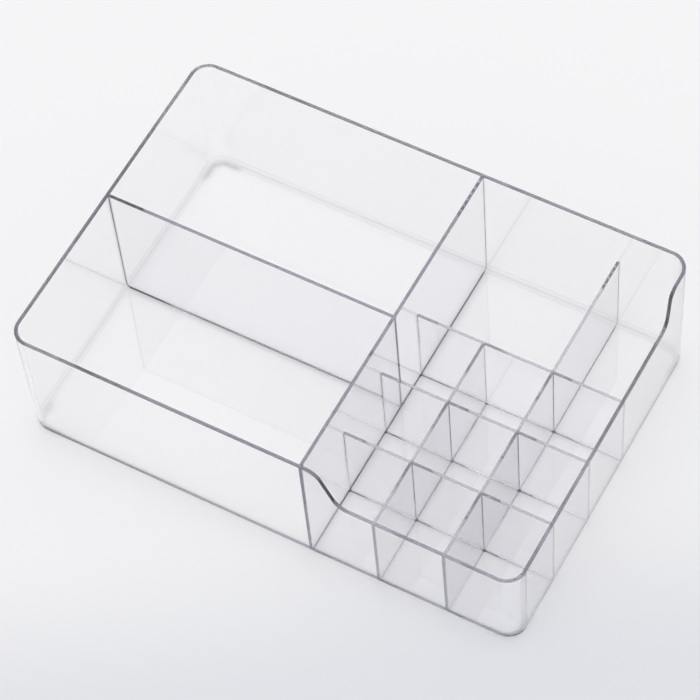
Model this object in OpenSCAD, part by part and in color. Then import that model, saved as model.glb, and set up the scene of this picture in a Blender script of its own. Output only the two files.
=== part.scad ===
// Clear desk and vanity organiser: a rounded tray with a lowered rim at one corner,
// two tall dividers for large items and a grid of low dividers for small ones.
// Millimetres. +X runs to the right, +Y to the back and +Z up.
// The origin is on the surface the tray stands on, under the middle of the rim.

/* [Tray] */
// Length of the tray over its rim, from left to right
length = 320; // [290:1:400]
// Width of the tray over its rim, from front to back
width = 218; // [200:1:280]
// Height of the full rim above the surface the tray stands on
height = 97; // [90:1:130]
// Thickness of the outer wall
wall_t = 2.2; // [1.6:0.1:3]
// Thickness of the floor
floor_t = 2; // [1.5:0.1:3]
// Outside radius of the upright corners, at the rim
corner_r = 12; // [10:0.5:18]
// How far each outer wall leans inwards on its way from the rim down to the floor
lean = 0.5; // [0.2:0.1:1.2]
// Radius of the cove between the outer wall and the floor
cove_r = 3; // [1.5:0.5:4]
// Radius of the round under the wall, where its outside turns in to the underside
heel_r = 4; // [2:0.5:4.5]

/* [Lowered rim] */
// Height of the lowered rim above the surface the tray stands on
low_rim = 69; // [58:1:78]
// Length of full rim kept on the front wall past the main divider
front_fall_start = 2; // [0:0.5:8]
// Radius of the two bends of the front fall
front_bend_r = 10; // [5:0.5:11]
// Steepness of the front fall, in degrees from level
front_fall_angle = 66; // [50:1:80]
// Length of full rim kept on the right wall in front of its back corner
side_fall_start = 19.8; // [13:0.2:30]
// Radius of the two bends of the side fall
side_bend_r = 8; // [4:0.5:10]
// Steepness of the side fall, in degrees from level
side_fall_angle = 81; // [55:1:85]

/* [Dividers] */
// Thickness of the main divider and the left divider
tall_t = 2; // [1.4:0.1:3]
// Thickness of the row and column dividers
low_t = 1.8; // [1.2:0.1:2.6]
// Clear length of a small cell at the floor, from left to right
cell_length = 41.5; // [34:0.2:48]
// Clear width of a small cell at the floor, from front to back
cell_width = 41.8; // [34:0.2:48]
// How far the row and column dividers stop below the lowered rim
divider_drop = 1.7; // [0.5:0.1:8]
// Play on each side of the joints where rows and columns cross
joint_play = 0.05; // [0.02:0.01:0.2]

/* [Feet] */
// Height of the corner feet under the floor
foot_h = 1.5; // [0.8:0.1:3]
// Length of each straight leg of a foot, past the rounded corner
foot_leg = 8.5; // [2:0.5:28]
// Width of the ridge that forms a foot
foot_w = 2.5; // [1.5:0.5:4]
// How far the outside of a foot stands in from the wall above the heel
foot_inset = 2.5; // [1:0.5:4]

/* [Hidden] */
$fn = 64;

// Flat steps that round the cove and the heel, and each bend of the lowered rim
cove_steps = 5;
bend_steps = 10;
// Most of a fall's drop that each of its two bends may take
bend_share = 0.48;
// Overrun of every cut past the surface that it opens
over = 1;
// Faint lilac grey of clear plastic, and how solid it looks
clear_tint = [0.87, 0.87, 0.92];
clear_solidity = 0.45;

floor_top = foot_h + floor_t;
divider_top = low_rim - divider_drop;
joint_z = (floor_top + divider_top) / 2;

// Inset of the floor plate's edge from the rim's outline: there the wall's cove ends
plate_inset = wall_t + lean_at(floor_top) + cove_r;

// Inside faces of the right and front walls where they would meet the floor
right_face = length / 2 - wall_t - lean_at(floor_top);
front_face = -(width / 2 - wall_t - lean_at(floor_top));

// Middle planes of the dividers
short_column_x = right_face - 2 * cell_length - 1.5 * low_t;
long_column_x = right_face - cell_length - 0.5 * low_t;
main_x = right_face - 3 * cell_length - 2 * low_t - tall_t / 2;
left_y = 0;
front_row_y = front_face + cell_width + 0.5 * low_t;
middle_row_y = front_face + 2 * cell_width + 1.5 * low_t;
rear_row_y = front_face + 3 * cell_width + 2.5 * low_t;

// How far the outside face stands in from the rim's outline at height z
function lean_at(z) = lean * (height - z) / (height - foot_h);

// Side of the outer wall's outside, as [inset from the rim's outline, height]:
// round the heel, then leaning up to the rim
function outer_side() = [
    for (i = [0 : cove_steps])
        let (a = 90 * i / cove_steps)
            [lean + heel_r * (1 - sin(a)), foot_h + heel_r * (1 - cos(a))],
    [0, height]
];

// Side of the hollow: past the floor plate's edge, round the cove, and up past the rim
function hollow_side() = [
    [plate_inset, foot_h - over],
    for (i = [0 : cove_steps])
        let (a = 90 * i / cove_steps, z = floor_top + cove_r * (1 - cos(a)))
            [wall_t + lean_at(z) + cove_r * (1 - sin(a)), z],
    [wall_t + lean_at(height + over), height + over]
];

// Upright section across the middle of a block with such a side
function section(side, half) = concat(
    [for (p = side) [half - p[0], p[1]]],
    [for (i = [len(side) - 1 : -1 : 0]) [side[i][0] - half, side[i][1]]]
);

// Block with the tray's rounded plan and the given side
module drafted_block(side) {
    last = len(side) - 1;
    axis_x = length / 2 - corner_r;
    axis_y = width / 2 - corner_r;
    rotate([90, 0, 0])
        linear_extrude(height = 2 * axis_y, center = true)
            polygon(section(side, length / 2));
    rotate([90, 0, 90])
        linear_extrude(height = 2 * axis_x, center = true)
            polygon(section(side, width / 2));
    for (sx = [-1, 1], sy = [-1, 1])
        translate([sx * axis_x, sy * axis_y, 0])
            rotate_extrude()
                polygon(concat(
                    [[0, side[0][1]]],
                    [for (p = side) [corner_r - p[0], p[1]]],
                    [[0, side[last][1]]]
                ));
}

// Bend radius that leaves a straight stretch in a fall of this steepness
function bend_for(r, angle) = min(r, bend_share * (height - low_rim) / (1 - cos(angle)));

// Level run of a fall: two equal bends with a straight slope between them
function fall_run(r, angle) =
    let (slope = (height - low_rim - 2 * r * (1 - cos(angle))) / sin(angle))
        2 * r * sin(angle) + slope * cos(angle);

// Outline of the space above the lowered rim, with the fall starting at zero.
// It rises past the rim and runs on to the given length.
function fall_outline(r, angle, run_on) = concat(
    [[-over, height + over], [-over, height]],
    [for (i = [0 : bend_steps])
        let (a = angle * i / bend_steps) [r * sin(a), height - r * (1 - cos(a))]],
    [for (i = [bend_steps : -1 : 0])
        let (a = angle * i / bend_steps)
            [fall_run(r, angle) - r * sin(a), low_rim + r * (1 - cos(a))]],
    [[run_on, low_rim], [run_on, height + over]]
);

// Cut that lowers the rim of the front wall, from the main divider to the right
module front_rim_cut() {
    start_x = main_x + tall_t / 2 + front_fall_start;
    translate([start_x, -width / 2 + corner_r, 0])
        rotate([90, 0, 0])
            linear_extrude(height = corner_r + over)
                polygon(fall_outline(bend_for(front_bend_r, front_fall_angle),
                    front_fall_angle, length / 2 + over - start_x));
}

// Cut that lowers the rim of the right wall, from near its back corner to the front
module side_rim_cut() {
    start_y = width / 2 - side_fall_start;
    translate([length / 2 - corner_r, start_y, 0])
        rotate([90, 0, -90])
            mirror([0, 0, 1])
                linear_extrude(height = corner_r + over)
                    polygon(fall_outline(bend_for(side_bend_r, side_fall_angle),
                        side_fall_angle, width / 2 + over + start_y));
}

// Plan of one foot: a ridge that follows the heel of a corner, in the +X +Y quarter
module foot_plan() {
    axis_x = length / 2 - corner_r;
    axis_y = width / 2 - corner_r;
    r = corner_r - lean - foot_inset;
    translate([axis_x, axis_y]) {
        intersection() {
            difference() {
                circle(r = r);
                circle(r = r - foot_w);
            }
            square(r);
        }
        translate([-foot_leg, r - foot_w]) square([foot_leg, foot_w]);
        translate([r - foot_w, -foot_leg]) square([foot_w, foot_leg]);
    }
}

module clear_plastic() {
    color(clear_tint, clear_solidity) children();
}

// Foot of the corner on these sides, with its top shaped to the underside and the heel
module foot(sx, sy) {
    clear_plastic() difference() {
        mirror([sx < 0 ? 1 : 0, 0, 0])
            mirror([0, sy < 0 ? 1 : 0, 0])
                linear_extrude(height = foot_h + heel_r / 2)
                    foot_plan();
        drafted_block(outer_side());
    }
}

// Plate that fills the ring of the wall's turned-in foot
module base_floor() {
    clear_plastic()
        drafted_block([[plate_inset, foot_h], [plate_inset, floor_top]]);
}

module outer_wall() {
    clear_plastic() difference() {
        drafted_block(outer_side());
        drafted_block(hollow_side());
        front_rim_cut();
        side_rim_cut();
    }
}

// Outline of a divider inside the hollow, between two places along it
module divider_outline(half, from, to, top) {
    intersection() {
        polygon(section(hollow_side(), half));
        translate([from, floor_top]) square([to - from, top - floor_top]);
    }
}

// Slot of a halving joint, open below (up = false) or above (up = true)
module joint_slot(at, up) {
    w = low_t + 2 * joint_play;
    translate([at - w / 2, up ? joint_z - joint_play : floor_top - over])
        square([w, (divider_top - floor_top) / 2 + over + joint_play]);
}

// Divider that runs from left to right at a given place from front to back
module divider_along_x(y, t, from, to, top, slots = []) {
    clear_plastic()
        translate([0, y, 0])
            rotate([90, 0, 0])
                linear_extrude(height = t, center = true)
                    difference() {
                        divider_outline(length / 2, from, to, top);
                        for (x = slots) joint_slot(x, false);
                    }
}

// Divider that runs from front to back at a given place from left to right
module divider_along_y(x, t, from, to, top, slots = []) {
    clear_plastic()
        translate([x, 0, 0])
            rotate([90, 0, 90])
                linear_extrude(height = t, center = true)
                    difference() {
                        divider_outline(width / 2, from, to, top);
                        for (y = slots) joint_slot(y, true);
                    }
}

module main_divider() {
    divider_along_y(main_x, tall_t, -width / 2, width / 2, height);
}

module left_divider() {
    divider_along_x(left_y, tall_t, -length / 2, main_x - tall_t / 2, height);
}

// Row dividers butt against the main divider and reach the right wall
module row_divider(y, slots) {
    divider_along_x(y, low_t, main_x + tall_t / 2, length / 2, divider_top, slots);
}

module rear_row_divider() {
    row_divider(rear_row_y, [long_column_x]);
}

module middle_row_divider() {
    row_divider(middle_row_y, [short_column_x, long_column_x]);
}

module front_row_divider() {
    row_divider(front_row_y, [short_column_x, long_column_x]);
}

module long_column_divider() {
    divider_along_y(long_column_x, low_t, -width / 2, width / 2, divider_top,
        [front_row_y, middle_row_y, rear_row_y]);
}

module short_column_divider() {
    divider_along_y(short_column_x, low_t, -width / 2, rear_row_y - low_t / 2, divider_top,
        [front_row_y, middle_row_y]);
}

module front_left_foot() {
    foot(-1, -1);
}

module front_right_foot() {
    foot(1, -1);
}

module back_left_foot() {
    foot(-1, 1);
}

module back_right_foot() {
    foot(1, 1);
}

base_floor();
outer_wall();
main_divider();
left_divider();
rear_row_divider();
middle_row_divider();
front_row_divider();
long_column_divider();
short_column_divider();
front_left_foot();
front_right_foot();
back_left_foot();
back_right_foot();
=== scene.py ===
"""Looks of a clear moulded vanity organizer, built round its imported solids.

The tray, its feet and its dividers are modelled as bevelled, watertight pieces of clear
polystyrene. Each piece stands where the frame's node of the same name stands.
"""

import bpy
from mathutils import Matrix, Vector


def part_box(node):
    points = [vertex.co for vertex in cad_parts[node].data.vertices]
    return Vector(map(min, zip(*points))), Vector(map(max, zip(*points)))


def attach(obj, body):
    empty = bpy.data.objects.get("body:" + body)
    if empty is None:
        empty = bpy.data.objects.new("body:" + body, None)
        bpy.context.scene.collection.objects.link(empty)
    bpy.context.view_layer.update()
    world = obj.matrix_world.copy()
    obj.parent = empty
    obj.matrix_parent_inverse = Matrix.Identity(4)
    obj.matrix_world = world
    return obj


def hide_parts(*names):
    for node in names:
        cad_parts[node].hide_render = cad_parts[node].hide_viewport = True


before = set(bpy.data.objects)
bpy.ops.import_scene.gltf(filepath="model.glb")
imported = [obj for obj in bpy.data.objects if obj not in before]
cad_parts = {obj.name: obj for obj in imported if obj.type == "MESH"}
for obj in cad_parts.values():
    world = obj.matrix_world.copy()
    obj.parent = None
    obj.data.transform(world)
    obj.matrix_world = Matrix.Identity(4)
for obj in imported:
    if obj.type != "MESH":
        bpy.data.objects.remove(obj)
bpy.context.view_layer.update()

import logging
import math
from collections.abc import Callable, Iterator
from contextlib import contextmanager
from dataclasses import dataclass, field
from enum import Enum

import bmesh
import bpy
from mathutils import Matrix, Vector

MM = 0.001
BODY = "root"
# Gap that keeps two pieces from sharing one plane
TOUCH = 0.02 * MM
# Places nearer than this are the same place
SAME_PLACE = 0.004 * MM
# Marks on faces for the material: where a panel is bonded on, and how grey a face is, from cement
# and mostly from painted shade
JOINED = "joined"
GREY_AND_PAINTED_SHADE = "grey_and_painted_shade"
# Number of the upright axis
UP = 2
# Edges that bend by more than this are sharp, and a small round has so many flat steps
SHARP = math.radians(35)
ROUND_STEPS = 3
# How much of a normal points one way: all of it, most, half, a part or hardly any
SQUARE = 0.99
MOSTLY = 0.9
HALF = 0.5
PARTLY = 0.2
HARDLY = 0.1

log = logging.getLogger("organizer")


def linear(hex_colour: str) -> tuple[float, float, float, float]:
    """Turns an sRGB hex colour into the linear colour that a shader takes.

    Args:
        hex_colour: Six hex digits, such as "f2f2f6".

    Returns:
        Red, green, blue and an alpha of 1.
    """
    shares = [int(hex_colour[i : i + 2], 16) / 255 for i in (0, 2, 4)]
    toe, toe_slope, lift, power = 0.04045, 12.92, 0.055, 2.4
    bright = [s / toe_slope if s <= toe else ((s + lift) / (1 + lift)) ** power for s in shares]
    return (*bright, 1.0)


def socket_of(sockets: bpy.types.bpy_prop_collection, name: str | int) -> bpy.types.NodeSocket:
    """Finds a node's socket by its name, its identifier or its number.

    Args:
        sockets: The node's inputs or outputs.
        name: What the socket is called.

    Returns:
        The socket.
    """
    if isinstance(name, int) or name in sockets:
        return sockets[name]
    return next(socket for socket in sockets if socket.identifier == name)


def add_node(
    tree: bpy.types.NodeTree,
    kind: str,
    values: dict[str | int, object] | None = None,
    links: dict[str | int, bpy.types.NodeSocket] | None = None,
    **settings: object,
) -> bpy.types.Node:
    """Adds one shader node with its settings, constants and links.

    Args:
        tree: Node tree that gets the node.
        kind: Blender's type name for the node.
        values: Constants by the name of their input socket.
        links: Source sockets by the name of the input socket that they feed.
        **settings: Properties of the node itself.

    Returns:
        The new node.
    """
    node = tree.nodes.new(kind)
    for name, setting in settings.items():
        setattr(node, name, setting)
    for name, constant in (values or {}).items():
        socket_of(node.inputs, name).default_value = constant
    for name, socket in (links or {}).items():
        tree.links.new(socket, socket_of(node.inputs, name))
    return node


# The finishes


@dataclass(frozen=True)
class ClearPolystyrene:
    """Clear polystyrene, injection moulded against polished steel.

    To the eye it is water clear through the thickness of a wall, and grey with a breath of
    lilac where a wall is seen along its length, because the tint adds up over the path.
    Where a foot or a panel stands on it, the plastic runs on, so light neither bends nor
    glints there. Cement leaves a line of grey. Painted grey stands in for shade along the
    bottom edge, in the cove and on the panels' sides.
    """

    name: str = "clear_moulded_polystyrene"
    ior: float = 1.59
    roughness: float = 0.01
    face_tint: str = "fefefe"
    grey_and_shade_tint: str = "84828e"
    absorption_tint: str = "b9b6c8"
    absorption_per_m: float = 8.0
    ripple_mm: float = 38.0
    ripple_height_mm: float = 0.02
    ripple_detail: float = 1.0
    haze_mm: float = 14.0
    haze: float = 0.012
    haze_detail: float = 3.0

    def make(self) -> bpy.types.Material:
        """Builds the material.

        Returns:
            The finished material.
        """
        material = bpy.data.materials.new(self.name)
        material.use_nodes = True
        tree = material.node_tree
        tree.nodes.clear()
        place = add_node(tree, "ShaderNodeTexCoord").outputs["Object"]
        # Cooling leaves slow ripples in the faces, far shallower than a hair
        ripple = add_node(
            tree,
            "ShaderNodeTexNoise",
            {"Scale": 1 / (self.ripple_mm * MM), "Detail": self.ripple_detail},
            {"Vector": place},
        )
        bump = add_node(
            tree,
            "ShaderNodeBump",
            {"Strength": 1.0, "Distance": self.ripple_height_mm * MM},
            {"Height": ripple.outputs["Fac"]},
        )
        # Handling leaves a faint uneven haze on the gloss
        haze = add_node(
            tree,
            "ShaderNodeTexNoise",
            {"Scale": 1 / (self.haze_mm * MM), "Detail": self.haze_detail},
            {"Vector": place},
        )
        gloss = add_node(
            tree,
            "ShaderNodeMapRange",
            {"To Min": self.roughness, "To Max": self.roughness + self.haze},
            {"Value": haze.outputs["Fac"]},
        )
        # Bonded faces vanish: their light neither bends nor scatters
        joined = add_node(tree, "ShaderNodeAttribute", attribute_name=JOINED).outputs["Fac"]
        bend = add_node(
            tree, "ShaderNodeMapRange", {"To Min": self.ior, "To Max": 1.0}, {"Value": joined}
        )
        open_gloss = add_node(
            tree,
            "ShaderNodeMapRange",
            {"To Max": 0.0},
            {"Value": joined, "To Min": gloss.outputs["Result"]},
        )
        # Cement greys the face. Painted shade greys it along the bottom edge, in the cove and on
        # the panels' sides, and a plain grey lies on the right wall, each by its own mark
        grey_and_painted_shade = add_node(tree, "ShaderNodeAttribute", attribute_name=GREY_AND_PAINTED_SHADE).outputs["Fac"]
        tint = add_node(
            tree,
            "ShaderNodeMix",
            {"A_Color": linear(self.face_tint), "B_Color": linear(self.grey_and_shade_tint)},
            {"Factor_Float": grey_and_painted_shade},
            data_type="RGBA",
        )
        # The export drops the link to IOR, so the plain value stands under it
        plastic = add_node(
            tree,
            "ShaderNodeBsdfPrincipled",
            {"Transmission Weight": 1.0, "IOR": self.ior},
            {
                "Base Color": socket_of(tint.outputs, "Result_Color"),
                "Normal": bump.outputs["Normal"],
                "Roughness": open_gloss.outputs["Result"],
                "IOR": bend.outputs["Result"],
            },
        )
        depth = add_node(
            tree,
            "ShaderNodeVolumeAbsorption",
            {"Color": linear(self.absorption_tint), "Density": self.absorption_per_m},
        )
        add_node(
            tree,
            "ShaderNodeOutputMaterial",
            links={"Surface": plastic.outputs["BSDF"], "Volume": depth.outputs["Volume"]},
        )
        return material


@dataclass(frozen=True)
class PanelPolystyrene(ClearPolystyrene):
    """Clear polystyrene, moulded as a thin panel between large polished cores.

    To the eye its faces are nearly as clear as the walls, and its edges a little deeper grey.
    """

    name: str = "clear_polystyrene_off_polished_cores"
    face_tint: str = "fbfbfc"
    absorption_tint: str = "b9b7c8"
    absorption_per_m: float = 15.0


@dataclass(frozen=True)
class CellPolystyrene(ClearPolystyrene):
    """Clear polystyrene moulded between narrow cores, whose steel can't be polished as well.

    To the eye it is a little greyer than the walls wherever a face is looked through.
    """

    name: str = "clear_polystyrene_off_plain_cores"
    roughness: float = 0.03
    face_tint: str = "fdfdfe"
    absorption_tint: str = "b9b7c8"
    absorption_per_m: float = 8.0


@dataclass(frozen=True)
class PalePaint:
    """Matt emulsion on a smooth board, rolled: plain, with no sheen to mirror the tray.

    Its colour is white at the back and turns a cooler, darker tone in the foreground:
    painted shade for the light's falloff towards the front.
    """

    azimuth: float
    fore_shaded_colour: str = "e7e8ec"
    mid_colour: str = "f4f4f5"
    back_colour: str = "f6f6f7"
    fore: float = -0.21
    mid: float = -0.08
    back: float = 0.3
    name: str = "rolled_matt_white_paint"
    roughness: float = 0.9

    def make(self) -> bpy.types.Material:
        """Builds the material.

        Returns:
            The finished material.
        """
        material = bpy.data.materials.new(self.name)
        material.use_nodes = True
        tree = material.node_tree
        tree.nodes.clear()
        place = add_node(tree, "ShaderNodeTexCoord").outputs["Object"]
        turned = add_node(
            tree,
            "ShaderNodeMapping",
            {"Rotation": (0, 0, -self.azimuth)},
            {"Vector": place},
        )
        parts = add_node(tree, "ShaderNodeSeparateXYZ", links={"Vector": turned.outputs["Vector"]})
        depth = add_node(
            tree,
            "ShaderNodeMapRange",
            {"From Min": self.fore, "From Max": self.back},
            {"Value": parts.outputs["Y"]},
        )
        # Painted shade: the floor's colour darkens towards the front, where the light falls off
        painted_falloff = add_node(tree, "ShaderNodeValToRGB", links={"Fac": depth.outputs["Result"]})
        painted_falloff.color_ramp.interpolation = "EASE"
        stops = painted_falloff.color_ramp.elements
        stops[0].color = linear(self.fore_shaded_colour)
        stops[1].color = linear(self.back_colour)
        middle = stops.new((self.mid - self.fore) / (self.back - self.fore))
        middle.color = linear(self.mid_colour)
        paint = add_node(
            tree,
            "ShaderNodeBsdfDiffuse",
            {"Roughness": self.roughness},
            {"Color": painted_falloff.outputs["Color"]},
        )
        add_node(tree, "ShaderNodeOutputMaterial", links={"Surface": paint.outputs["BSDF"]})
        return material


# Shaping, marking and handing over a piece


def activate(piece: bpy.types.Object) -> None:
    """Makes a piece the only selected object, and the active one.

    Args:
        piece: The piece to work on.
    """
    bpy.ops.object.select_all(action="DESELECT")
    piece.select_set(True)
    bpy.context.view_layer.objects.active = piece


def add_block(name: str, low: Vector, high: Vector) -> bpy.types.Object:
    """Adds a block at its size and place, with its object at the origin.

    Args:
        name: Name of the new piece.
        low: Lowest corner.
        high: Highest corner.

    Returns:
        The new piece.
    """
    bpy.ops.object.select_all(action="DESELECT")
    bpy.ops.mesh.primitive_cube_add(size=1, location=(low + high) / 2, scale=high - low)
    piece = bpy.context.active_object
    piece.name = name
    piece.data.name = name
    bpy.ops.object.transform_apply(location=True, rotation=True, scale=True)
    return piece


@dataclass
class Bench:
    """One piece in edit mode: picks faces and edges by their place and shapes them."""

    piece: bpy.types.Object

    def _mesh(self) -> bmesh.types.BMesh:
        """Gives the mesh that is being edited."""
        return bmesh.from_edit_mesh(self.piece.data)

    def pick_faces(self, wanted: Callable[[bmesh.types.BMFace], bool]) -> int:
        """Selects only the faces that pass a test.

        Args:
            wanted: Test on a face.

        Returns:
            How many faces are now selected.
        """
        bpy.ops.mesh.select_mode(type="FACE")
        bpy.ops.mesh.select_all(action="DESELECT")
        mesh = self._mesh()
        picked = [face for face in mesh.faces if wanted(face)]
        for face in picked:
            face.select_set(True)
        bmesh.update_edit_mesh(self.piece.data)
        return len(picked)

    def pick_edges(self, wanted: Callable[[Vector, Vector], bool]) -> int:
        """Selects only the edges that pass a test.

        Args:
            wanted: Test on the places of an edge's two ends.

        Returns:
            How many edges are now selected.
        """
        bpy.ops.mesh.select_mode(type="EDGE")
        bpy.ops.mesh.select_all(action="DESELECT")
        mesh = self._mesh()
        picked = [edge for edge in mesh.edges if wanted(*(v.co for v in edge.verts))]
        for edge in picked:
            edge.select_set(True)
        bmesh.update_edit_mesh(self.piece.data)
        return len(picked)

    def round_edges(self, reach: float, segments: int) -> None:
        """Rounds the selected edges with a bevel that reaches so far along their faces."""
        bpy.ops.mesh.bevel(
            offset=reach, segments=segments, affect="EDGES", clamp_overlap=False
        )

    def shift(self, way: Vector) -> None:
        """Moves what is selected."""
        bpy.ops.transform.translate(value=way)

    def extrude(self, way: Vector) -> None:
        """Extrudes the selected faces."""
        bpy.ops.mesh.extrude_region_move(TRANSFORM_OT_translate={"value": way})

    def resize(self, along_x: float, along_y: float, centre: Vector) -> None:
        """Scales what is selected, level with the floor, about a centre."""
        bpy.ops.transform.resize(value=(along_x, along_y, 1), center_override=centre)

    def score(
        self, wanted: Callable[[bmesh.types.BMFace], bool], axis: int, place: float
    ) -> None:
        """Splits faces along a plane and leaves the shape as it is.

        Args:
            wanted: Test on a face.
            axis: Axis that the plane is square to.
            place: Where the plane crosses that axis.
        """
        if self.pick_faces(wanted):
            point, way = Vector((0, 0, 0)), Vector((0, 0, 0))
            point[axis], way[axis] = place, 1
            bpy.ops.mesh.bisect(plane_co=point, plane_no=way)


@contextmanager
def bench(piece: bpy.types.Object) -> Iterator[Bench]:
    """Puts a piece in edit mode for as long as the block lasts.

    Args:
        piece: The piece to shape.

    Yields:
        The bench that holds it.
    """
    activate(piece)
    bpy.ops.object.mode_set(mode="EDIT")
    yield Bench(piece)
    bpy.ops.object.mode_set(mode="OBJECT")


def near(a: float, b: float) -> bool:
    """Tells whether two lengths are the same for modelling."""
    return abs(a - b) < SAME_PLACE


def cut(piece: bpy.types.Object, cutter: bpy.types.Object) -> None:
    """Takes the cutter's volume out of a piece and deletes the cutter.

    Args:
        piece: The piece that is cut.
        cutter: Closed mesh of the space to clear.
    """
    activate(piece)
    boolean = piece.modifiers.new("cut", "BOOLEAN")
    boolean.operation = "DIFFERENCE"
    boolean.solver = "EXACT"
    boolean.object = cutter
    bpy.ops.object.modifier_apply(modifier=boolean.name)
    bpy.data.objects.remove(cutter)


def ease_edges(piece: bpy.types.Object, radius: float) -> None:
    """Rounds every sharp edge of a piece, as a mould does.

    Args:
        piece: The piece to round.
        radius: Radius of the rounds.
    """
    activate(piece)
    bevel = piece.modifiers.new("eased edges", "BEVEL")
    bevel.width = radius
    bevel.segments = ROUND_STEPS
    bevel.limit_method = "ANGLE"
    bevel.angle_limit = SHARP
    bevel.use_clamp_overlap = False
    bpy.ops.object.modifier_apply(modifier=bevel.name)


def flatten_faces(piece: bpy.types.Object) -> None:
    """Shades a piece smooth over its rounds, with true flat faces between them.

    Args:
        piece: The shaped piece.
    """
    activate(piece)
    bpy.ops.object.shade_smooth_by_angle(angle=SHARP)
    weighted = piece.modifiers.new("flat faces", "WEIGHTED_NORMAL")
    weighted.mode = "FACE_AREA"
    weighted.keep_sharp = True
    bpy.ops.object.modifier_apply(modifier=weighted.name)


def mark_faces(
    piece: bpy.types.Object, mark: str, strength: Callable[[Vector, Vector], float]
) -> None:
    """Marks a piece's faces for its material.

    Args:
        piece: The finished piece.
        mark: Name of the mark that the material reads.
        strength: Gives the mark's strength from a face's centre and normal.
    """
    marks = piece.data.attributes.new(mark, "FLOAT", "FACE")
    for face in piece.data.polygons:
        marks.data[face.index].value = strength(face.center, face.normal)
    count = sum(1 for held in marks.data if held.value > 0)
    log.info("%s is marked %s over %d faces", piece.name, mark, count)


def hand_over(piece: bpy.types.Object, plastic: bpy.types.Material, *nodes: str) -> None:
    """Dresses a finished piece and ties it to the frame.

    Args:
        piece: The finished piece.
        plastic: Its material.
        *nodes: The frame's nodes that the piece stands for.
    """
    piece.data.materials.clear()
    piece.data.materials.append(plastic)
    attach(piece, BODY)
    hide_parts(*nodes)
    log.info("%s stands for %s, %d faces", piece.name, ", ".join(nodes), len(piece.data.polygons))


# The tray and its feet


@dataclass
class Fall:
    """The rim's way down from its full height to the lowered rim: two bends and a slope."""

    start: float
    bend_r: float
    steepness: float
    drop: float

    @property
    def reach(self) -> float:
        """Distance from a sharp knee to where its bend begins."""
        return self.bend_r * math.tan(self.steepness / 2)

    @property
    def knee(self) -> float:
        """Place of the sharp upper knee along the wall."""
        return self.start + self.reach

    @property
    def toe(self) -> float:
        """Place of the sharp lower knee along the wall."""
        return self.knee + self.drop / math.tan(self.steepness)


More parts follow.
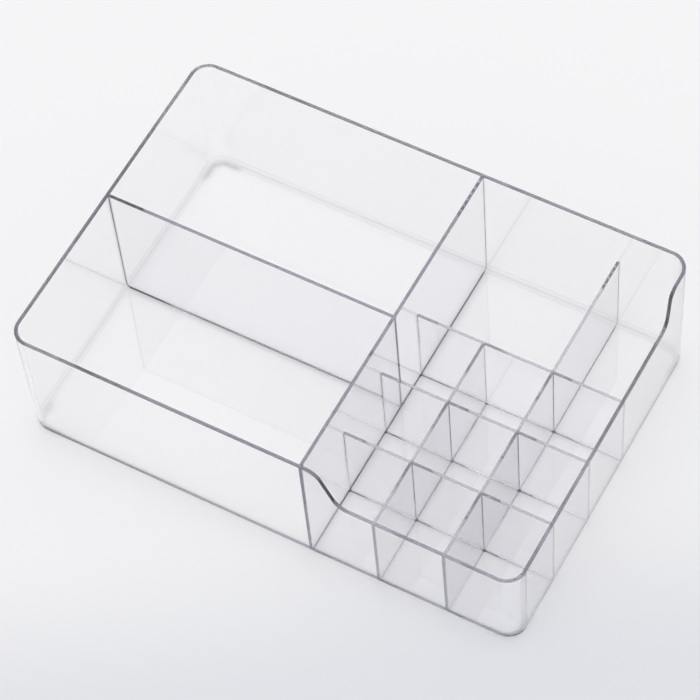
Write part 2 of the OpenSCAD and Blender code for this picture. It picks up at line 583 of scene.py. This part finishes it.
@dataclass
class Tray:
    """The moulded tray: floor, wall round all four sides, cove, and rim with its two falls."""

    wall_t: float = 2.2 * MM
    corner_r: float = 12 * MM
    lean: float = 0.5 * MM
    cove_r: float = 3 * MM
    heel_r: float = 4 * MM
    rim_r: float = 0.8 * MM
    low_rim: float = 69 * MM
    front_fall_gap: float = 2 * MM
    front_bend_r: float = 10 * MM
    front_fall_angle: float = math.radians(66)
    side_fall_gap: float = 19.8 * MM
    side_bend_r: float = 8 * MM
    side_fall_angle: float = math.radians(81)
    foot_inset: float = 2.5 * MM
    foot_w: float = 2.5 * MM
    foot_leg: float = 8.5 * MM
    foot_facets: int = 2
    # Painted shade along the bottom edge: its lowest and highest place, its blurred top on the
    # right, and its greys on the front and on the right
    edge_shade_band: tuple[float, float] = (4.4 * MM, 8.4 * MM)
    edge_shade_top_right: float = 10.6 * MM
    edge_shade_front: float = 1.0
    edge_shade_right: float = 0.55
    # Painted shade in the cove, on its faces whose normal rises so much, and the plain grey of the
    # right wall
    cove_painted_shade: float = 0.2
    cove_rise: tuple[float, float] = (0.3, 0.85)
    right_grey: float = 0.18
    corner_steps: int = 24
    cove_steps: int = 8
    bend_steps: int = 14
    low: Vector = field(init=False)
    high: Vector = field(init=False)
    floor_top: float = field(init=False)
    foot_corner: Vector = field(init=False)
    piece: bpy.types.Object = field(init=False)

    def __post_init__(self) -> None:
        """Takes the outside sizes from the frame's nodes."""
        floor_low, floor_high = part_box("base_floor")
        _, self.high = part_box("outer_wall")
        self.low = Vector((-self.high.x, -self.high.y, floor_low.z))
        self.floor_top = floor_high.z

    def lean_at(self, height: float) -> float:
        """Gives how far the outside stands in from the rim's outline at a height."""
        return self.lean * (self.high.z - height) / (self.high.z - self.low.z)

    def _shell(self) -> bpy.types.Object:
        """Models the tray with a level rim.

        Returns:
            A closed shell with rounded corners, leaning walls, heel and cove.
        """
        piece = add_block("tray_shell", self.low, self.high)
        top, bottom, inside = self.high.z, self.low.z, self.floor_top
        with bench(piece) as work:
            work.pick_edges(lambda a, b: not near(a.z, b.z))
            work.round_edges(self.corner_r, self.corner_steps)
            work.pick_faces(lambda face: face.normal.z < -HALF)
            work.resize(
                1 - self.lean / self.high.x, 1 - self.lean / self.high.y, Vector((0, 0, bottom))
            )
            work.pick_faces(lambda face: face.normal.z > HALF)
            bpy.ops.mesh.inset(thickness=self.wall_t, depth=0)
            work.extrude(Vector((0, 0, inside - top)))
            half_x, half_y = self.high.x - self.wall_t, self.high.y - self.wall_t
            drawn_in = self.lean_at(inside)
            work.resize(1 - drawn_in / half_x, 1 - drawn_in / half_y, Vector((0, 0, inside)))
            work.pick_edges(lambda a, b: near(a.z, inside) and near(b.z, inside))
            work.round_edges(self.cove_r, self.cove_steps)
            work.pick_edges(lambda a, b: near(a.z, bottom) and near(b.z, bottom))
            work.round_edges(self.heel_r, self.cove_steps)
        return piece

    def _lower_rim(
        self, piece: bpy.types.Object, fall: Fall, run_on: float, place: Vector, turn: float
    ) -> None:
        """Cuts one wall's rim down and rounds the two knees of its fall.

        Args:
            piece: The shell.
            fall: The fall's sizes, along the wall.
            run_on: Where the cut ends, along the wall.
            place: Point of the outside of the wall where the fall's own measure is zero.
            turn: Turn of the wall's direction about the upright axis, from +X.
        """
        past = self.wall_t
        turned = Matrix.Translation(place) @ Matrix.Rotation(turn, 4, "Z")
        low = Vector((fall.knee, -self.corner_r, self.low_rim))
        high = Vector((run_on, self.corner_r, self.high.z))
        cutter = add_block("rim_cutter", low, high)
        with bench(cutter) as work:
            at_toe = self._at(fall.knee, self.low_rim)
            work.pick_edges(lambda a, b: at_toe(a) and at_toe(b))
            work.shift(Vector((fall.toe - fall.knee, 0, 0)))
            slope = (fall.toe - fall.knee) / fall.drop
            work.pick_faces(lambda face: face.normal.z > HALF)
            work.extrude(Vector((0, 0, past)))
            at_top = self._at(fall.knee, self.high.z + past)
            work.pick_edges(lambda a, b: at_top(a) and at_top(b))
            work.shift(Vector((-slope * past, 0, 0)))
        cutter.data.transform(turned)
        cut(piece, cutter)
        back = turned.inverted()
        with bench(piece) as work:
            for along, height in ((fall.knee, self.high.z), (fall.toe, self.low_rim)):
                at_knee = self._at(along, height)
                work.pick_edges(
                    lambda a, b: all(
                        at_knee(back @ p) and abs((back @ p).y) < 2 * self.wall_t
                        for p in (a, b)
                    )
                )
                work.round_edges(fall.reach, self.bend_steps)

    @staticmethod
    def _at(along: float, height: float) -> Callable[[Vector], bool]:
        """Gives a test for places at this x and this height."""
        return lambda p: near(p.x, along) and near(p.z, height)

    def _seat_feet(self) -> None:
        """Marks out the seats of the four feet on the underside and up the heel."""
        leg_x = self.high.x - self.corner_r - self.foot_leg
        leg_y = self.high.y - self.corner_r - self.foot_leg
        self.foot_corner = Vector((leg_x, leg_y, self.low.z))
        with bench(self.piece) as work:
            work.pick_faces(lambda face: near(face.calc_center_median().z, self.low.z))
            bpy.ops.mesh.inset(thickness=self.foot_inset + self.foot_w - self.heel_r, depth=0)
            for axis, leg in ((0, leg_x), (1, leg_y)):
                for side in (-1, 1):
                    work.score(
                        lambda face: self._is_under(face.calc_center_median()),
                        axis,
                        side * leg,
                    )

    def _is_under(self, place: Vector) -> bool:
        """Tells whether a face is in the band under the tray that the feet follow.

        Args:
            place: The face's centre.

        Returns:
            True in the band.
        """
        rise = self.heel_r * (1 - math.cos(self.foot_facets * math.pi / 2 / self.cove_steps))
        band = self.lean + self.foot_inset + self.foot_w
        off_middle = abs(place.x) > self.high.x - band or abs(place.y) > self.high.y - band
        return place.z < self.low.z + rise and (off_middle or self._in_bend(place))

    def is_foot_seat(self, place: Vector, side: int, end: int) -> bool:
        """Tells whether a face of the underside is the seat of one corner's foot.

        Args:
            place: The face's centre.
            side: -1 for a foot on the left, 1 on the right.
            end: -1 for a foot at the front, 1 at the back.

        Returns:
            True on the seat.
        """
        in_corner = side * place.x > self.foot_corner.x and end * place.y > self.foot_corner.y
        return in_corner and self._is_under(place)

    def _in_bend(self, place: Vector) -> bool:
        """Tells whether a place lies past the axis of a corner's bend both ways."""
        return (
            abs(place.x) > self.high.x - self.corner_r
            and abs(place.y) > self.high.y - self.corner_r
        )

    def _inner(self, place: Vector, below: float) -> bool:
        """Tells whether a face's centre is on the inside of the tray, below a height."""
        return (
            abs(place.x) < self.high.x - self.wall_t / 2
            and abs(place.y) < self.high.y - self.wall_t / 2
            and self.floor_top - SAME_PLACE < place.z < below
        )

    def _seat_dividers(self, dividers: list["Divider"]) -> None:
        """Marks out where the dividers meet the floor and the walls.

        Args:
            dividers: The dividers, tall ones first.
        """
        flat_top = self.high.z - self.rim_r
        with bench(self.piece) as work:
            for divider in dividers:
                low, high = divider.seat(self.cove_r)
                along, across = divider.run.value, divider.across
                top = min(high.z, flat_top)

                def in_reach(face: bmesh.types.BMFace) -> bool:
                    """Tells whether a face can meet this divider."""
                    place = face.calc_center_median()
                    return self._inner(place, top) and low[along] < place[along] < high[along]

                def on_floor(face: bmesh.types.BMFace) -> bool:
                    """Tells whether a face of the floor can meet this divider."""
                    return face.normal.z > SQUARE and in_reach(face)

                for edge in (low[across], high[across]):
                    work.score(in_reach, across, edge)
                for edge in (low[across] - divider.fillet_r, high[across] + divider.fillet_r):
                    work.score(on_floor, across, edge)
                if high.z < flat_top:
                    work.score(
                        lambda face: in_reach(face)
                        and low[across] < face.calc_center_median()[across] < high[across]
                        and abs(face.normal.z) < HARDLY,
                        UP,
                        high.z,
                    )

    def _is_seat(self, place: Vector, normal: Vector, dividers: list["Divider"]) -> bool:
        """Tells whether a face of the tray carries a divider or a foot.

        Args:
            place: The face's centre.
            normal: The face's normal.
            dividers: The dividers that stand in the tray.

        Returns:
            True on a seat.
        """
        if normal.z < 0:
            return any(self.is_foot_seat(place, side, end) for side in (-1, 1) for end in (-1, 1))
        if not self._inner(place, self.high.z - self.rim_r):
            return False
        return any(divider.holds(place, normal, self.cove_r) for divider in dividers)

    def _is_outside(self, place: Vector, normal: Vector) -> bool:
        """Tells whether a face is on the outside of the front or right wall or their corners."""
        front = normal.y < -PARTLY and place.y < -self.high.y / 2
        return front or (normal.x > PARTLY and place.x > self.high.x / 2)

    def _greyness(self, place: Vector, normal: Vector) -> float:
        """Gives how grey a face of the tray is painted.

        Args:
            place: The face's centre.
            normal: The face's normal.

        Returns:
            Painted shade, strong in a band along the heel and fainter on the right, where it
            reaches higher, and faint in the cove; and a faint plain grey on the right wall's
            outside.
        """
        if self._is_outside(place, normal):
            # Painted shade in a band along the bottom edge, reaching higher on the right
            low, high = self.edge_shade_band
            front, right = max(-normal.y, 0.0), max(normal.x, 0.0)
            if low < place.z < high:
                return self.edge_shade_front * front**2 + self.edge_shade_right * right**2
            if high < place.z < self.edge_shade_top_right:
                return self.edge_shade_right * right**2
            return self.right_grey if normal.x > MOSTLY else 0.0
        # Painted shade in the cove
        low, high = self.cove_rise
        in_cove = low < normal.z < high and place.z < self.floor_top + self.cove_r
        return self.cove_painted_shade if in_cove else 0.0

    def build(self, plastic: bpy.types.Material, dividers: list["Divider"]) -> None:
        """Models and dresses the tray.

        Args:
            plastic: Material of the moulding.
            dividers: The dividers that stand in it, tall ones first.
        """
        drop = self.high.z - self.low_rim
        _, main_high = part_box("main_divider")
        self.piece = self._shell()
        over = self.corner_r
        front = Fall(
            main_high.x + self.front_fall_gap, self.front_bend_r, self.front_fall_angle, drop
        )
        self._lower_rim(self.piece, front, self.high.x + over, Vector((0, -self.high.y, 0)), 0)
        side = Fall(self.side_fall_gap, self.side_bend_r, self.side_fall_angle, drop)
        self._lower_rim(
            self.piece,
            side,
            2 * self.high.y + over,
            Vector((self.high.x, self.high.y, 0)),
            -math.pi / 2,
        )
        ease_edges(self.piece, self.rim_r)
        self._seat_feet()
        self._seat_dividers(dividers)
        # Marks out the band of painted shade along the bottom edge
        with bench(self.piece) as work:
            for height in (*self.edge_shade_band, self.edge_shade_top_right):
                work.score(
                    lambda face: self._is_outside(face.calc_center_median(), face.normal),
                    UP,
                    height,
                )
        flatten_faces(self.piece)
        mark_faces(
            self.piece, JOINED, lambda place, normal: self._is_seat(place, normal, dividers)
        )
        mark_faces(self.piece, GREY_AND_PAINTED_SHADE, self._greyness)
        hand_over(self.piece, plastic, "outer_wall", "base_floor")


@dataclass
class Foot:
    """A low ridge that follows one corner under the tray."""

    name: str
    edge_r: float = 0.4 * MM

    def build(self, tray: Tray, plastic: bpy.types.Material) -> None:
        """Models and dresses the foot, drawn down from its seat under the tray.

        Args:
            tray: The tray above it.
            plastic: Material of the moulding.
        """
        low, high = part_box(self.name)
        side = 1 if low.x > 0 else -1
        end = 1 if low.y > 0 else -1
        with bench(tray.piece) as work:
            work.pick_faces(lambda face: tray.is_foot_seat(face.calc_center_median(), side, end))
            bpy.ops.mesh.duplicate()
            bpy.ops.mesh.separate(type="SELECTED")
        (piece,) = [part for part in bpy.context.selected_objects if part is not tray.piece]
        piece.name = self.name + "_ridge"
        piece.data.name = piece.name
        with bench(piece) as work:
            bpy.ops.mesh.select_all(action="SELECT")
            work.shift(Vector((0, 0, -TOUCH)))
            work.extrude(Vector((0, 0, low.z - high.z)))
            bpy.ops.transform.resize(value=(1, 1, 0), center_override=low)
            work.pick_faces(lambda face: near(face.calc_center_median().z, low.z))
            bpy.ops.mesh.dissolve_faces()
            work.pick_edges(lambda a, b: near(a.z, low.z) and near(b.z, low.z))
            work.round_edges(self.edge_r, ROUND_STEPS)
            bpy.ops.mesh.select_all(action="SELECT")
            bpy.ops.mesh.normals_make_consistent(inside=False)
        flatten_faces(piece)
        mark_faces(piece, JOINED, lambda place, normal: normal.z > MOSTLY)
        hand_over(piece, plastic, self.name)


# The dividers


class Run(Enum):
    """Which way a divider runs."""

    LEFT_TO_RIGHT = 0
    FRONT_TO_BACK = 1


class Joint(Enum):
    """Where a divider is slotted for those that cross it."""

    NONE = "none"
    BELOW = "below"
    ABOVE = "above"


@dataclass(frozen=True)
class Patch:
    """Where another panel meets one: its reach along it and up it, and on which sides."""

    start: float
    stop: float
    bottom: float
    top: float
    sides: tuple[int, ...]


@dataclass
class Divider:
    """An upright panel in the tray, with a small fillet on both sides of its foot."""

    node: str
    run: Run
    low_end_at_wall: bool = True
    high_end_at_wall: bool = True
    joint: Joint = Joint.NONE
    crossed_by: tuple[str, ...] = ()
    butted_by: tuple[str, ...] = ()
    edge_r: float = 0.3 * MM
    fillet_r: float = 0.7 * MM
    # Greys of the cement at the low end, on its bead as a share of that, and in the crossings
    end_grey: float = 1.0
    bead_w: float = 1.0 * MM
    bead_grey: float = 0.6
    crossing_grey: float = 0.6
    # Painted shade on the sides, a grey that grows forwards from one place to the other
    side_shade_front: float = 0.0
    side_shade_back: float = 0.0
    side_shade_from: float = 0.0
    side_shade_to: float = -42 * MM
    low: Vector = field(init=False)
    high: Vector = field(init=False)

    def __post_init__(self) -> None:
        """Takes the panel's place from the frame."""
        self.low, self.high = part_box(self.node)

    @property
    def across(self) -> int:
        """Axis of the panel's thickness."""
        return 1 - self.run.value

    def seat(self, reach: float) -> tuple[Vector, Vector]:
        """Gives the panel's box, longer by a reach along its run and below.

        Args:
            reach: How far the box goes past the panel.

        Returns:
            Lowest and highest corner.
        """
        low, high = self.low.copy(), self.high.copy()
        low[self.run.value] -= reach
        high[self.run.value] += reach
        low.z -= reach
        return low, high

    def holds(self, place: Vector, normal: Vector, reach: float) -> bool:
        """Tells whether a face of the tray lies in the panel's seat.

        Args:
            place: The face's centre.
            normal: The face's normal.
            reach: How far the seat goes past the panel.

        Returns:
            True under the panel, its ends and, on the floor, its fillets.
        """
        low, high = self.seat(reach)
        if normal.z > SQUARE:
            low[self.across] -= self.fillet_r
            high[self.across] += self.fillet_r
        return all(low[axis] < place[axis] < high[axis] for axis in range(3))

    @property
    def middle(self) -> float:
        """Height at which crossing panels are halved."""
        return (self.low.z + self.high.z) / 2

    def _slot(self, piece: bpy.types.Object, other: str) -> None:
        """Cuts the slot that one crossing divider sits in.

        Args:
            piece: The divider's panel.
            other: Node of the divider that crosses it.
        """
        other_low, other_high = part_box(other)
        along, across = self.run.value, self.across
        start, stop = Vector((0, 0, 0)), Vector((0, 0, 0))
        start[along], stop[along] = other_low[along] - TOUCH, other_high[along] + TOUCH
        start[across], stop[across] = self.low[across] - MM, self.high[across] + MM
        if self.joint is Joint.ABOVE:
            start.z, stop.z = self.middle, self.high.z + MM
        else:
            start.z, stop.z = self.low.z - MM, self.middle + TOUCH
        cut(piece, add_block("slot_cutter", start, stop))

    def _patches(self) -> list[Patch]:
        """Gives where other panels meet this one's two sides.

        Returns:
            One patch for each panel that crosses or butts.
        """
        along = self.run.value
        patches = []
        for other in self.crossed_by + self.butted_by:
            low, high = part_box(other)
            bottom, top = self.low.z, min(high.z, self.high.z) - self.edge_r
            sides = (-1, 1)
            if other in self.butted_by:
                sides = (1,) if low[self.across] > self.low[self.across] else (-1,)
            elif self.joint is Joint.ABOVE:
                top = self.middle
            else:
                bottom = self.middle + TOUCH
            patches.append(Patch(low[along], high[along], bottom, top, sides))
        return patches

    def _score_sides(self, piece: bpy.types.Object) -> None:
        """Marks out on the panel's two sides where its bead ends and other panels meet it.

        Args:
            piece: The panel.
        """
        along = self.run.value

        def is_side(face: bmesh.types.BMFace) -> bool:
            """Tells whether a face is one of the panel's two flat sides."""
            return abs(face.normal[self.across]) > SQUARE

        with bench(piece) as work:
            work.score(is_side, along, self.low[along] + self.bead_w)
            for patch in self._patches():
                work.score(is_side, along, patch.start)
                work.score(is_side, along, patch.stop)
                for height in (patch.bottom, patch.top):
                    if self.low.z + self.fillet_r < height:
                        work.score(
                            lambda face: is_side(face)
                            and patch.start < face.calc_center_median()[along] < patch.stop,
                            UP,
                            height,
                        )

    def _is_joint(self, place: Vector, normal: Vector) -> bool:
        """Tells whether a face of the panel meets the tray or another panel.

        Args:
            place: The face's centre.
            normal: The face's normal.

        Returns:
            True on its ends, its underside and where another panel meets it.
        """
        along = self.run.value
        if abs(normal[self.across]) < 1 - SQUARE:
            return place.z < self.high.z - self.edge_r / 2 or normal.z < HALF
        if abs(normal[self.across]) < SQUARE:
            return False
        side = 1 if normal[self.across] > 0 else -1
        return any(
            side in patch.sides
            and patch.start < place[along] < patch.stop
            and patch.bottom < place.z < patch.top
            for patch in self._patches()
        )

    def _greyness(self, place: Vector, normal: Vector) -> float:
        """Gives how grey the cement and the painted shade leave a face.

        Args:
            place: The face's centre.
            normal: The face's normal.

        Returns:
            The cement's grey at the low end, on its bead and in the crossings, and painted shade
            on the sides.
        """
        along = self.run.value
        if normal[along] < -MOSTLY and place[along] < self.low[along] + MM:
            return self.end_grey
        if self._is_joint(place, normal):
            return self.crossing_grey if self.crossed_by and abs(normal.z) < HARDLY else 0.0
        if abs(normal[self.across]) < SQUARE:
            return 0.0
        if place[along] < self.low[along] + self.bead_w:
            return self.bead_grey * self.end_grey
        # Painted shade on the sides, greyer towards the front
        forward = (self.side_shade_from - place.y) / (self.side_shade_from - self.side_shade_to)
        share = min(max(forward, 0.0), 1.0)
        return self.side_shade_back + (self.side_shade_front - self.side_shade_back) * share

    def _panel(self, tray: Tray) -> bpy.types.Object:
        """Models the plain panel, drawn in to the wall's lean and cove.

        Args:
            tray: The tray that it stands in.

        Returns:
            A closed panel.
        """
        low, high = self.low.copy(), self.high.copy()
        along = self.run.value
        low.z += TOUCH
        low[along] += TOUCH
        high[along] -= TOUCH
        piece = add_block(self.node + "_panel", low, high)
        drawn_in = tray.lean_at(low.z) - tray.lean_at(high.z)
        ends = [
            (low[along], drawn_in, self.low_end_at_wall),
            (high[along], -drawn_in, self.high_end_at_wall),
        ]

        def at(end: float, height: float) -> Callable[[Vector, Vector], bool]:
            """Gives a test for edges at this place along the panel and this height."""
            return lambda a, b: all(near(p[along], end) and near(p.z, height) for p in (a, b))

        with bench(piece) as work:
            for end, inwards, at_wall in ends:
                if not at_wall:
                    continue
                way = Vector((0, 0, 0))
                way[along] = inwards
                work.pick_edges(at(end, low.z))
                work.shift(way)
                work.pick_edges(at(end + inwards, low.z))
                work.round_edges(tray.cove_r, tray.cove_steps)
        self._flare_foot(piece, low.z, tray)
        return piece

    def _flare_foot(self, piece: bpy.types.Object, bottom: float, tray: Tray) -> None:
        """Flares the panel's foot to a small fillet that dies away up the wall's cove.

        Args:
            piece: The plain panel.
            bottom: Height of its underside.
            tray: The tray, whose cove's steps the flare follows.
        """
        turns = [math.pi / 2 * k / tray.cove_steps for k in range(tray.cove_steps)]
        rises = [tray.cove_r * (1 - math.cos(turn)) for turn in turns]
        rises = [rise for rise in rises if rise < self.fillet_r]
        with bench(piece) as work:
            for rise in (*rises[1:], self.fillet_r):
                work.score(
                    lambda face: abs(face.normal[self.across]) > SQUARE, UP, bottom + rise
                )
            for rise in rises:
                rest = self.fillet_r - rise
                for side, face_at in ((-1, self.low[self.across]), (1, self.high[self.across])):
                    corner = Vector((0, 0, bottom + rise))
                    corner[self.across] = face_at
                    work.pick_edges(
                        lambda a, b: all(
                            near(p.z, corner.z) and near(p[self.across], face_at) for p in (a, b)
                        )
                    )
                    way = Vector((0, 0, 0))
                    way[self.across] = side * (
                        self.fillet_r - math.sqrt(self.fillet_r**2 - rest**2)
                    )
                    work.shift(way)

    def build(self, tray: Tray, plastic: bpy.types.Material) -> None:
        """Models and dresses the divider.

        Args:
            tray: The tray that it stands in.
            plastic: Material of the moulding.
        """
        piece = self._panel(tray)
        top, along = self.high.z, self.run.value
        for other in self.crossed_by:
            self._slot(piece, other)
        with bench(piece) as work:
            work.pick_edges(
                lambda a, b: near(a.z, top) and near(b.z, top) and abs((a - b)[along]) > MM
            )
            work.round_edges(self.edge_r, ROUND_STEPS)
        self._score_sides(piece)
        flatten_faces(piece)
        mark_faces(piece, JOINED, self._is_joint)
        mark_faces(piece, GREY_AND_PAINTED_SHADE, self._greyness)
        hand_over(piece, plastic, self.node)


# The studio


@dataclass
class Studio:
    """Plain pale floor, soft light from all round, and the camera."""

    floor_reach: float = 5.0
    floor_sides: int = 96
    sky: float = 1.01
    lamp: float = 1.6
    lamp_way: Vector = field(default_factory=lambda: Vector((-0.3, 0.45, 0.84)))
    lamp_core: float = math.radians(6)
    lamp_edge: float = math.radians(15)
    camera_place: Vector = field(default_factory=lambda: Vector((0.5539, -0.8366, 1.6148)))
    azimuth: float = math.radians(33.67)
    elevation: float = math.radians(57.45)
    roll: float = math.radians(5.97)
    lens_mm: float = 167.24
    sensor_mm: float = 36.0
    sight: float = 20.0
    # Light crosses dozens of clear faces here before it leaves
    bounces: int = 64

    def build_floor(self) -> None:
        """Models the floor that the tray stands on."""
        bpy.ops.object.select_all(action="DESELECT")
        bpy.ops.mesh.primitive_circle_add(
            vertices=self.floor_sides,
            radius=self.floor_reach,
            fill_type="NGON",
            location=(0, 0, -TOUCH),
        )
        floor = bpy.context.active_object
        floor.name = "floor"
        floor.data.materials.append(PalePaint(self.azimuth).make())

    def build_light(self) -> None:
        """Lights the scene softly from all round, and most from above and behind."""
        world = bpy.data.worlds.new("soft_studio")
        bpy.context.scene.world = world
        world.use_nodes = True
        tree = world.node_tree
        tree.nodes.clear()
        way = add_node(tree, "ShaderNodeTexCoord").outputs["Generated"]
        aim = add_node(
            tree,
            "ShaderNodeVectorMath",
            {1: self.lamp_way.normalized()},
            {0: way},
            operation="DOT_PRODUCT",
        )
        strength = add_node(
            tree,
            "ShaderNodeMapRange",
            {
                "From Min": math.cos(self.lamp_edge),
                "From Max": math.cos(self.lamp_core),
                "To Min": self.sky,
                "To Max": self.lamp,
            },
            {"Value": aim.outputs["Value"]},
            interpolation_type="SMOOTHSTEP",
        )
        back = add_node(
            tree,
            "ShaderNodeBackground",
            {"Color": linear("ffffff")},
            {"Strength": strength.outputs["Result"]},
        )
        add_node(tree, "ShaderNodeOutputWorld", links={"Surface": back.outputs["Background"]})

    def build_camera(self) -> None:
        """Sets the camera where the photograph was taken from."""
        level = Vector((math.cos(self.azimuth), math.sin(self.azimuth), 0))
        flat, down = math.cos(self.elevation), -math.sin(self.elevation)
        inwards_x, inwards_y = -math.sin(self.azimuth), math.cos(self.azimuth)
        forward = Vector((inwards_x * flat, inwards_y * flat, down))
        upright = level.cross(forward)
        right = level * math.cos(self.roll) - upright * math.sin(self.roll)
        up = right.cross(forward)
        data = bpy.data.cameras.new("camera")
        data.lens = self.lens_mm
        data.sensor_width = self.sensor_mm
        data.clip_end = self.sight
        camera = bpy.data.objects.new("camera", data)
        bpy.context.scene.collection.objects.link(camera)
        turn = Matrix((right, up, -forward)).transposed().to_4x4()
        camera.matrix_world = Matrix.Translation(self.camera_place) @ turn
        bpy.context.scene.camera = camera

    def set_up(self) -> None:
        """Builds the studio and sets how light is traced through the plastic."""
        self.build_floor()
        self.build_light()
        self.build_camera()
        scene = bpy.context.scene
        scene.view_settings.view_transform = "Standard"
        scene.cycles.max_bounces = self.bounces
        scene.cycles.glossy_bounces = self.bounces
        scene.cycles.transmission_bounces = self.bounces
        scene.cycles.blur_glossy = 0


def main() -> None:
    """Builds the organizer piece by piece in its studio."""
    logging.basicConfig(level=logging.INFO, format="%(name)s: %(message)s")
    plastic = ClearPolystyrene().make()
    rows = ("front_row_divider", "middle_row_divider", "rear_row_divider")
    columns = ("short_column_divider", "long_column_divider")
    dividers = [
        Divider(
            "main_divider",
            Run.FRONT_TO_BACK,
            butted_by=("left_divider", *rows),
            end_grey=0.3,
            side_shade_front=0.06,
        ),
        Divider("left_divider", Run.LEFT_TO_RIGHT, high_end_at_wall=False),
    ]
    for row in rows:
        is_rear = row == rows[-1]
        dividers.append(
            Divider(
                row,
                Run.LEFT_TO_RIGHT,
                low_end_at_wall=False,
                joint=Joint.BELOW,
                crossed_by=columns[1:] if is_rear else columns,
                butted_by=columns[:1] if is_rear else (),
                end_grey=0.2,
                side_shade_front=0.0 if is_rear else 0.04,
            )
        )
    dividers += [
        Divider(
            columns[0],
            Run.FRONT_TO_BACK,
            high_end_at_wall=False,
            joint=Joint.ABOVE,
            crossed_by=rows[:2],
            side_shade_front=0.14,
            side_shade_back=0.08,
        ),
        Divider(
            columns[1],
            Run.FRONT_TO_BACK,
            joint=Joint.ABOVE,
            crossed_by=rows,
            side_shade_front=0.24,
            side_shade_back=0.1,
        ),
    ]
    tray = Tray()
    tray.build(plastic, dividers)
    tall_finish, low_finish = PanelPolystyrene().make(), CellPolystyrene().make()
    for name in ("front_left_foot", "front_right_foot", "back_left_foot", "back_right_foot"):
        Foot(name).build(tray, plastic)
    for divider in dividers:
        divider.build(tray, tall_finish if divider.joint is Joint.NONE else low_finish)
    Studio().set_up()


if __name__ == "__main__":
    main()
